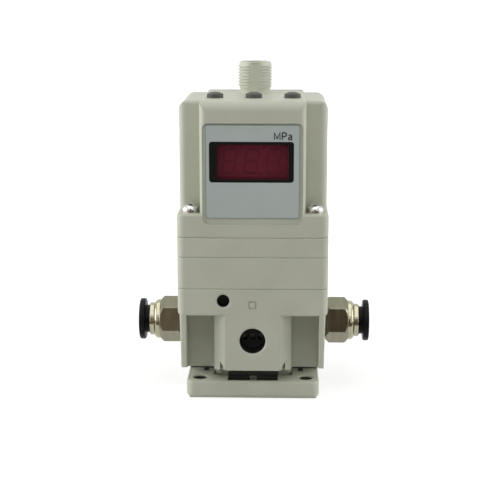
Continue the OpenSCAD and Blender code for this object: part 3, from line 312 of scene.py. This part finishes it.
def body_painted_shade():
    """Painted shade in the ports, the passages behind one and on the foot, each as two corners and a tone.
    """
    # Painted shade: near black in the ports, grey in the passages, darker grey on the foot under the core
    port_painted_shade, passage_painted_shade, foot_painted_shade = srgb(24, 24, 23), srgb(138, 139, 128), srgb(88, 89, 81)
    exhaust, pilot = (port_box(name, port_painted_shade) for name in ("exhaust_port", "pilot_exhaust_port"))
    port_end = exhaust[0].y
    # Painted shade in the passages behind the exhaust port
    way_x, way_end, way_low, way_high = 4.4, 9.05, 14.9, 26.9
    passages = ((-way_x, way_end, way_low), (way_x, port_end, way_high), passage_painted_shade)
    # Painted shade on the foot under the body's core
    foot_low, foot_high = box_mm("main_body")[0].z - 0.05, CORE_LOW - 0.1
    foot = ((-POCKET_X, -CORE_Y, foot_low), (POCKET_X, CORE_Y, foot_high), foot_painted_shade)
    return exhaust, pilot, passages, foot


def base_painted_light_and_shade():
    """Painted light on the base's upper face, and painted shade in its pockets and holes and beside the
    foot, each as corners and a tone.
    """
    # Painted light for the upper face, and painted shade for the pockets, the holes and beside the foot
    painted_light_tone, pocket_painted_shade = srgb(214, 216, 199), srgb(88, 89, 81)
    hole_painted_shade, painted_shadow_tone = srgb(78, 79, 71), srgb(30, 30, 27)

    def on_top(start, end, half_y, skin, tone):
        """A stretch of the upper face."""
        return (start, -half_y, BASE_TOP - skin), (end, half_y, BASE_TOP + skin), tone

    # Painted light: the upper face gets a lighter tone than the casting
    painted_light_face = on_top(start=-BASE_FLAT, end=BASE_FLAT, half_y=BASE_FLAT, skin=0.1, tone=painted_light_tone)
    # Painted shadow on the base's upper face under the core's edge, and in spots beside the foot
    painted_shadow_gap = on_top(start=13.6, end=22.2, half_y=8.0, skin=0.15, tone=painted_shadow_tone)
    painted_shadow_spots = on_top(start=15.5, end=17.2, half_y=11.2, skin=0.15, tone=painted_shadow_tone)
    # Painted shade in the pockets beside the rib
    rib_x, pocket_y, pocket_low, pocket_high = 1.2, 21.7, 1.2, 5.8
    pockets = ((rib_x, -pocket_y, pocket_low), (POCKET_X, pocket_y, pocket_high), pocket_painted_shade)
    # Painted shade in the holes
    dims = mounts["base_holes"]["dims"]
    hole_reach, hole_z, hole_h = dims["hole_r_mm"] + 0.05, 3.0, 5.5
    hole = Vector((dims["spacing_x_mm"] / 2, dims["spacing_y_mm"] / 2, hole_z))
    hole_half = Vector((hole_reach, hole_reach, hole_h / 2))
    holes = (hole - hole_half, hole + hole_half, hole_painted_shade)
    return painted_light_face, pockets, holes, painted_shadow_gap, painted_shadow_spots


# Looks of the surfaces, with the finishes that some of them share

CAST = dict(dark=srgb(190, 192, 174), light=srgb(196, 198, 181), patch=70, grain=2600, roughness=0.52,
            spread=0.06, depth=0.012, edge=0.3)
MOULDED = dict(patch=60, grain=3200, roughness=0.47, spread=0.05, depth=0.008)
RUBBER = dict(patch=300, grain=2600, spread=0.08, depth=0.01)
PRINTED = dict(patch=400, grain=2600, roughness=0.55, spread=0.05, depth=0.003, edge=0.0)
DISPLAY = dict(PRINTED, patch=300, roughness=0.6)
MOTTLED = {
    "casting": CAST,
    # The castings of the body and the base carry painted shade, and the base's also painted light, in boxes
    "body_casting": dict(CAST, boxes=body_painted_shade()),
    "base_casting": dict(CAST, boxes=base_painted_light_and_shade()),
    "cover_plastic": dict(MOULDED, dark=srgb(190, 192, 174), light=srgb(195, 197, 180), edge=0.5),
    "connector_plastic": dict(MOULDED, dark=srgb(206, 208, 192), light=srgb(211, 213, 198), edge=0.2),
    "bezel_black": dict(dark=srgb(13, 14, 14), light=srgb(18, 19, 19), patch=150, grain=2400,
                        roughness=0.35, spread=0.06, depth=0.006, edge=0.2, Specular_IOR_Level=0.2),
    "collar_black": dict(dark=srgb(15, 16, 17), light=srgb(21, 22, 23), patch=300, grain=2600,
                         roughness=0.38, spread=0.06, depth=0.008, edge=0.2, Specular_IOR_Level=0.1),
    "black_plastic": dict(dark=srgb(30, 31, 32), light=srgb(38, 39, 40), patch=200, grain=2400,
                          roughness=0.5, spread=0.08, depth=0.01, edge=0.2),
    "button_rubber": dict(RUBBER, dark=srgb(84, 86, 82), light=srgb(92, 94, 90), roughness=0.6, edge=0.3,
                          Specular_IOR_Level=0.3),
    "seal_rubber": dict(RUBBER, dark=srgb(26, 26, 26), light=srgb(34, 34, 34), roughness=0.7, edge=0.0),
    "label_ink": dict(PRINTED, dark=srgb(30, 32, 32), light=srgb(40, 42, 42)),
    # A painted shadow line along the label's edge
    "painted_label_shadow": dict(PRINTED, dark=srgb(122, 128, 124), light=srgb(130, 136, 132)),
    "display_face": dict(DISPLAY, dark=srgb(158, 66, 80), light=srgb(164, 70, 84)),
    "display_segment": dict(DISPLAY, dark=srgb(110, 45, 56), light=srgb(116, 48, 60)),
}
DRAWN = {
    "screw_steel": dict(dark=srgb(186, 188, 186), light=srgb(206, 207, 204), roughness=0.14,
                        stretch=(1, 1, 0.2), edge=0.2),
    "spring_steel": dict(dark=srgb(150, 150, 148), light=srgb(176, 176, 174), roughness=0.3,
                         stretch=(1, 1, 1), edge=0.0),
    "brass": dict(dark=srgb(190, 150, 80), light=srgb(206, 168, 98), roughness=0.28,
                  stretch=(1, 1, 0.2), edge=0.2),
}
SURFACES = {name: mottled(name, **look) for name, look in MOTTLED.items()}
SURFACES |= {name: drawn_metal(name, **look) for name, look in DRAWN.items()}
SURFACES |= {"nickel": nickel_surface(), "label": label_surface(), "lens_red": lens_surface(),
             "circuit_board": board_surface()}
OWN_SURFACES = {"main_body": "body_casting", "mounting_base": "base_casting"}
for part in record["subparts"]:
    mesh = nodes[part["node"]].data
    mesh.materials.clear()
    mesh.materials.append(SURFACES[OWN_SURFACES.get(part["node"], part["material_slot"])])


# Pieces

def piece(name, verts, faces, surface, smooth=False):
    """A mesh from points in millimetres, with its surface, riding on the housing."""
    mesh = bpy.data.meshes.new(name)
    mesh.from_pydata([Vector(v) * MM for v in verts], [], faces)
    mesh.validate()
    work = bmesh.new()
    work.from_mesh(mesh)
    bmesh.ops.recalc_face_normals(work, faces=work.faces)
    work.to_mesh(mesh)
    work.free()
    mesh.polygons.foreach_set("use_smooth", [smooth] * len(mesh.polygons))
    mesh.materials.append(SURFACES[surface])
    obj = bpy.data.objects.new(name, mesh)
    bpy.context.scene.collection.objects.link(obj)
    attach(obj, "housing")
    return obj


def prism(verts, faces, near, far):
    """Adds the closed solid between two outlines that have as many points."""
    base, far_base = len(verts), len(verts) + len(near)
    count = len(near)
    verts += near + far
    faces.append([base + i for i in range(count)])
    faces.append([far_base + i for i in range(count)])
    for i in range(count):
        j = (i + 1) % count
        faces.append([base + i, base + j, far_base + j, far_base + i])


def connector_shell():
    """The connector with its outer thread, cut away by a flat in front and one behind."""
    low, high = box_mm("connector_shell")
    bottom, top = low.z, high.z
    axis_x, axis_y = (v / MM for v in mounts["connector_thread"]["pos_m"][:2])
    bore, flange, neck, groove, rim = 4.3, 8.0, 5.88, 5.2, 5.42
    thread_low, thread_high = top - 9.0, top - 0.9
    flange_top, groove_low = bottom + 2.5, thread_low - 1.7
    crest, root, flat, pitch = 5.9, 5.38, 5.12, 1.05
    # Shares of half a pitch at the thread's root and on its flank, and lengths over which it runs out
    root_share, flank_share, run_in, tail = 0.12, 0.76, 0.6, 0.4
    flat_turn = math.radians(-89)
    around = 128
    rows_per_pitch = 14
    turns = [math.tau * i / around for i in range(around)]

    def thread_radius(turn, z):
        phase = ((z - thread_low) / pitch - turn / math.tau) % 1
        ridge = (1 - abs(2 * phase - 1) - root_share) / flank_share
        ridge = min(1.0, max(0.0, ridge))
        fade = min(1.0, (z - thread_low) / run_in, (thread_high + tail - z) / run_in)
        return root + (crest - root) * ridge * max(0.0, fade)

    def flattened(turn, radius):
        facing = abs(math.cos(turn - flat_turn))
        return min(radius, flat / facing) if facing > 0.5 else radius

    def ring(z, radii):
        places = zip(turns, radii)
        return [(axis_x + r * math.cos(turn), axis_y + r * math.sin(turn), z) for turn, r in places]

    below = ((bottom, bore), (bottom, flange), (flange_top, flange), (flange_top, neck), (groove_low, neck),
             (groove_low, groove), (thread_low - 0.3, groove))
    above = ((top - 0.3, rim), (top - 0.1, rim - 0.06), (top, rim - 0.22), (top, bore + 0.3),
             (top - 0.2, bore + 0.05), (top - 0.5, bore))
    rows = [ring(z, [r] * around) for z, r in below]
    steps = int((thread_high - thread_low) / pitch * rows_per_pitch)
    for k in range(steps + 1):
        z = thread_low + (thread_high - thread_low) * k / steps
        rows.append(ring(z, [flattened(turn, thread_radius(turn, z)) for turn in turns]))
    rows.append(ring(thread_high + 0.3, [flattened(turn, root) for turn in turns]))
    rows += [ring(z, [r] * around) for z, r in above]
    verts = [v for row in rows for v in row]
    faces = []
    for k in range(len(rows)):
        this, following = k * around, (k + 1) % len(rows) * around
        for i in range(around):
            j = (i + 1) % around
            faces.append((this + i, this + j, following + j, following + i))
    # The key that turns a plug the right way, inside the bore at the back
    key_half, key_y, key_end = 0.5, axis_y + 3.8, axis_y + 4.5
    corners = ((-key_half, key_y), (key_half, key_y), (key_half, key_end), (-key_half, key_end))
    key_low, key_high = ([(axis_x + x, y, z) for x, y in corners] for z in (thread_low + 1, top - 2.2))
    prism(verts, faces, key_low, key_high)
    obj = piece("connector_thread", verts, faces, "connector_plastic", smooth=True)
    obj.data.set_sharp_from_angle(angle=math.radians(38))
    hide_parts("connector_shell")


def seven_segments():
    """The unlit digits on the display's face, seen faintly through the lens."""
    low, high = box_mm("display_module")
    face_y = low.y
    mid_x, mid_z = (low.x + high.x) / 2, (low.z + high.z) / 2
    face_t, bar_front, bar_back = 0.06, 0.1, 0.04
    digit_w, digit_h, digit_shift, bar, slant, pitch = 4.0, 7.6, -0.5, 0.9, 0.12, 7.2
    bar_gap, dot_r, dot_out, dot_sides = 0.12, 0.5, 1.15, 16
    verts, faces = [], []

    def raised(points):
        """A slanted flat shape on the face."""
        shape = [(x + slant * (z - mid_z), z) for x, z in points]
        near, far = ([(x, face_y - y, z) for x, z in shape] for y in (bar_front, bar_back))
        prism(verts, faces, near, far)

    def segment(x, z, length, upright):
        """A bar with pointed ends."""
        end, half = length / 2, bar / 2
        inner = end - half
        points = ((-end, 0), (-inner, half), (inner, half), (end, 0), (inner, -half), (-inner, -half))
        raised([(x + v, z + u) if upright else (x + u, z + v) for u, v in points])

    half_w, half_h = digit_w / 2, digit_h / 2
    for digit in (-1, 0, 1):
        x = mid_x + digit * pitch + digit_shift
        for step in (-1, 0, 1):
            segment(x, mid_z + step * half_h, digit_w - bar_gap, upright=False)
        for side in (-1, 1):
            for step in (-1, 1):
                segment(x + side * half_w, mid_z + step * half_h / 2, half_h - bar_gap, upright=True)
        dot_x, dot_z = x + half_w + dot_out, mid_z - half_h
        turns = [math.tau * k / dot_sides for k in range(dot_sides)]
        raised([(dot_x + dot_r * math.cos(turn), dot_z + dot_r * math.sin(turn)) for turn in turns])
    piece("display_segments", verts, faces, "display_segment")

    corners = ((low.x, low.z), (high.x, low.z), (high.x, high.z), (low.x, high.z))
    near, far = ([(x, y, z) for x, z in corners] for y in (face_y - face_t, face_y))
    plate_verts, plate_faces = [], []
    prism(plate_verts, plate_faces, near, far)
    piece("display_face", plate_verts, plate_faces, "display_face")


def strokes(name, lines, width, depths, surface):
    """Flat strokes along polylines in the XZ plane, between two depths."""
    verts, faces = [], []
    for line in lines:
        points = [Vector((x, z)) for x, z in line]
        left, right = [], []
        for i, p in enumerate(points):
            before = (p - points[i - 1]).normalized() if i else (points[1] - p).normalized()
            after = (points[i + 1] - p).normalized() if i < len(points) - 1 else before
            along = (before + after).normalized()
            out = Vector((-along.y, along.x)) * width / 2 / max(0.5, along.dot(after))
            left.append(p + out)
            right.append(p - out)
        for i in range(len(points) - 1):
            quad = (left[i], left[i + 1], right[i + 1], right[i])
            near, far = ([(q.x, y, q.y) for q in quad] for y in depths)
            prism(verts, faces, near, far)
    piece(name, verts, faces, surface)


def label_shadow_and_unit():
    """A painted shadow line along the label's edge, and the label's unit."""
    low, high = box_mm("label_plate")
    proud, sunk = 0.02, 0.05
    depths = (low.y - proud, low.y + sunk)
    inset, r, arc_steps = 0.1, 0.7, 6
    x0, x1, z0, z1 = low.x + inset, high.x - inset, low.z + inset, high.z - inset
    shadow_outline = []
    middles = ((x1 - r, z1 - r), (x0 + r, z1 - r), (x0 + r, z0 + r), (x1 - r, z0 + r))
    for quarter, (x, z) in enumerate(middles):
        for k in range(arc_steps + 1):
            turn = math.radians(90 * (quarter + k / arc_steps))
            shadow_outline.append((x + r * math.cos(turn), z + r * math.sin(turn)))
    shadow_outline.append(shadow_outline[0])
    # Painted shadow: a dark line along the label's edge
    strokes("label_shadow_line", [shadow_outline], width=0.2, depths=depths, surface="painted_label_shadow")

    unit_x, unit_z, cap = high.x - 8.25, high.z - 4.75, 2.25
    letter_m = (((0, 0), (0, cap), (0.9, 0.35), (1.8, cap), (1.8, 0)),)
    letter_p = (((0, 0), (0, cap)),
                ((0, cap), (0.75, cap), (1.2, cap - 0.2), (1.35, cap - 0.6), (1.2, cap - 1.0),
                 (0.75, cap - 1.2), (0, cap - 1.2)))
    letter_a = (((0.1, 1.35), (0.45, 1.55), (0.85, 1.5), (1.05, 1.2), (1.05, 0.1), (1.25, 0)),
                ((1.05, 0.95), (0.4, 0.85), (0.08, 0.55), (0.15, 0.15), (0.5, 0), (0.85, 0.12), (1.05, 0.4)))
    ink = []
    for start, letter in ((0, letter_m), (2.55, letter_p), (4.45, letter_a)):
        ink += [[(unit_x + start + x, unit_z + z) for x, z in line] for line in letter]
    strokes("label_unit", ink, width=0.4, depths=depths, surface="label_ink")


def column_sides():
    """Fills the slanted sides of the body's columns to a short facet and a straight side behind it.

    The facet is notched at its foot.
    """
    # Distances from the middle planes, heights, and how far the fill reaches into the body
    front = box_mm("main_body")[1].y - 0.03
    edge, notch, side = 9.2, 10.9, 13.0
    face_low, notch_h, top = 10.75, 2.6, 29.7
    lap, root, hidden_d = 0.2, 2.0, 3.5
    notch_y, side_y = front - (notch - edge), front - (side - edge)
    hidden = (notch, notch_y - hidden_d)

    def notch_low(x, y):
        return face_low + notch_h * max(0, x - edge) / (notch - edge)

    def foot_low(x, y):
        return CORE_LOW + (face_low - CORE_LOW) * (y - CORE_Y) / (front - CORE_Y)

    facet = ((edge - lap, front), (edge, front), (notch, notch_y), hidden)
    flank = ((notch, notch_y), (side, side_y), (side, CORE_Y), (side - root, CORE_Y), hidden)
    verts, faces = [], []
    for outline, low in ((facet, notch_low), (flank, foot_low)):
        for mirror_x, mirror_y in ((-1, -1), (1, -1), (-1, 1), (1, 1)):
            foot = [(x * mirror_x, y * mirror_y, low(x, y)) for x, y in outline]
            head = [(x * mirror_x, y * mirror_y, top) for x, y in outline]
            prism(verts, faces, foot, head)
    obj = piece("column_sides", verts, faces, "body_casting")


def valve_spring():
    """The valve's spring, as a copy of its mesh carried by the valve joint's parent body."""
    joint = next(j for j in record["behaviour"]["joints"] if j["name"] == "main_valve_open")
    coil = bpy.data.objects.new("valve_spring_coil", nodes["valve_spring"].data.copy())
    bpy.context.scene.collection.objects.link(coil)
    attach(coil, joint["parent"])
    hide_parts("valve_spring")
    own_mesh(coil)


connector_shell()
seven_segments()
label_shadow_and_unit()
column_sides()
valve_spring()


# Stage, light and camera, in metres

def sheet(name, corners, material):
    """A flat sheet that isn't part of the object."""
    mesh = bpy.data.meshes.new(name)
    mesh.from_pydata(corners, [], [(0, 1, 2, 3)])
    mesh.materials.append(material)
    obj = bpy.data.objects.new(name, mesh)
    bpy.context.scene.collection.objects.link(obj)
    return obj


def floor():
    """Pale floor that keeps the shadow near the object, is dark under it and turns white further out."""
    half = 20
    pale, shaded = (0.8, 0.8, 0.8, 1), (0.45, 0.45, 0.45, 1)
    surface = Material("floor")
    distance = surface.node("VectorMath", {0: surface.coords}, operation="LENGTH").outputs["Value"]
    rise = surface.scaled(distance, low=0.72, high=1.0, start=0.06, end=0.3)
    apart = surface.axes(surface.vector("ABSOLUTE", surface.coords))
    reach = surface.maths("MAXIMUM", apart["X"], apart["Y"])
    beside = surface.maths("GREATER_THAN", reach, BASE_FLAT * MM)
    strength = surface.maths("MULTIPLY", beside, rise)
    glow = surface.node("Emission", {"Color": WHITE, "Strength": strength})
    shade = surface.node("BsdfDiffuse", {"Color": shaded})
    both = surface.node("AddShader", {0: shade.outputs["BSDF"], 1: glow.outputs["Emission"]})
    plain = surface.node("BsdfDiffuse", {"Color": pale})
    surface.show(surface.backdrop(both.outputs["Shader"], plain.outputs["BSDF"]))
    corners = [(-half, -half, 0), (half, -half, 0), (half, half, 0), (-half, half, 0)]
    sheet("floor", corners, surface.material)


def dark_card():
    """Dark card before the object that only reflections show, as the dark side of a studio does.

    It is lighter towards its left end.
    """
    half, far, near, height, lift = 0.3, -1.5, -0.045, 0.6, 0.002
    surface = Material("dark_card")
    strength = surface.scaled(surface.axes(surface.coords)["X"], low=1.1, high=0.25, start=-0.2, end=0.2)
    glow = surface.node("Emission", {"Color": srgb(154, 138, 122), "Strength": strength})
    surface.show(glow.outputs["Emission"])
    lying = [(-half, far, lift), (half, far, lift), (half, near, lift), (-half, near, lift)]
    standing = [(-half, far, 0), (half, far, 0), (half, far, height), (-half, far, height)]
    for name, corners in (("card_low", lying), ("card_back", standing)):
        card = sheet(name, corners, surface.material)
        card.visible_camera = False
        card.visible_diffuse = False
        card.visible_shadow = False
        card.visible_transmission = False


def world(strength):
    """White behind the object, and weak even light from all round."""
    made = bpy.data.worlds.new("studio")
    bpy.context.scene.world = made
    made.use_nodes = True
    look = Nodes(made.node_tree)
    plain = look.tree.nodes["Background"]
    plain.inputs["Color"].default_value = WHITE
    plain.inputs["Strength"].default_value = strength
    white = look.node("Background", {"Color": WHITE, "Strength": 1.0})
    shown = look.backdrop(white.outputs["Background"], plain.outputs["Background"])
    look.feed(look.tree.nodes["World Output"].inputs["Surface"], shown)


def softbox(name, place, aim, size, power, reflected=True):
    """A rectangular lamp at a place, turned to a point, which reflections can leave out."""
    lamp = bpy.data.lights.new(name, "AREA")
    lamp.shape = "RECTANGLE"
    lamp.size, lamp.size_y = size
    lamp.energy = power
    obj = bpy.data.objects.new(name, lamp)
    obj.location = place
    obj.rotation_euler = (Vector(aim) - Vector(place)).to_track_quat("-Z", "Y").to_euler()
    obj.visible_glossy = reflected
    bpy.context.scene.collection.objects.link(obj)


def camera(place, down, left):
    """The camera at a place, turned down and to the left by angles in degrees."""
    lens = bpy.data.cameras.new("camera")
    lens.sensor_width = 36
    lens.lens = 86.32
    lens.clip_end = 100
    obj = bpy.data.objects.new("camera", lens)
    obj.location = place
    obj.rotation_euler = (math.radians(90 - down), 0, math.radians(left))
    bpy.context.scene.collection.objects.link(obj)
    bpy.context.scene.camera = obj


floor()
dark_card()
world(strength=0.08)
softbox("top_light", place=(0.0, 0.1, 0.75), aim=(0, 0, 0.05), size=(0.9, 0.7), power=2.3)
softbox("front_light", place=(0.0, -0.45, 0.65), aim=(0, 0, 0.05), size=(0.9, 0.5), power=1.45)
softbox("back_light", place=(0.0, 0.8, 0.14), aim=(0, 0, 0.06), size=(0.8, 0.25), power=1.6, reflected=False)
softbox("left_light", place=(-0.69, -0.08, 0.22), aim=(0, 0, 0.06), size=(0.6, 0.5), power=3.7)
softbox("right_light", place=(0.69, -0.04, 0.22), aim=(0, 0, 0.06), size=(0.6, 0.5), power=2.6)
camera(place=(0.0098, -0.4094, 0.1361), down=12.31, left=1.58)
bpy.context.scene.view_settings.view_transform = "Standard"
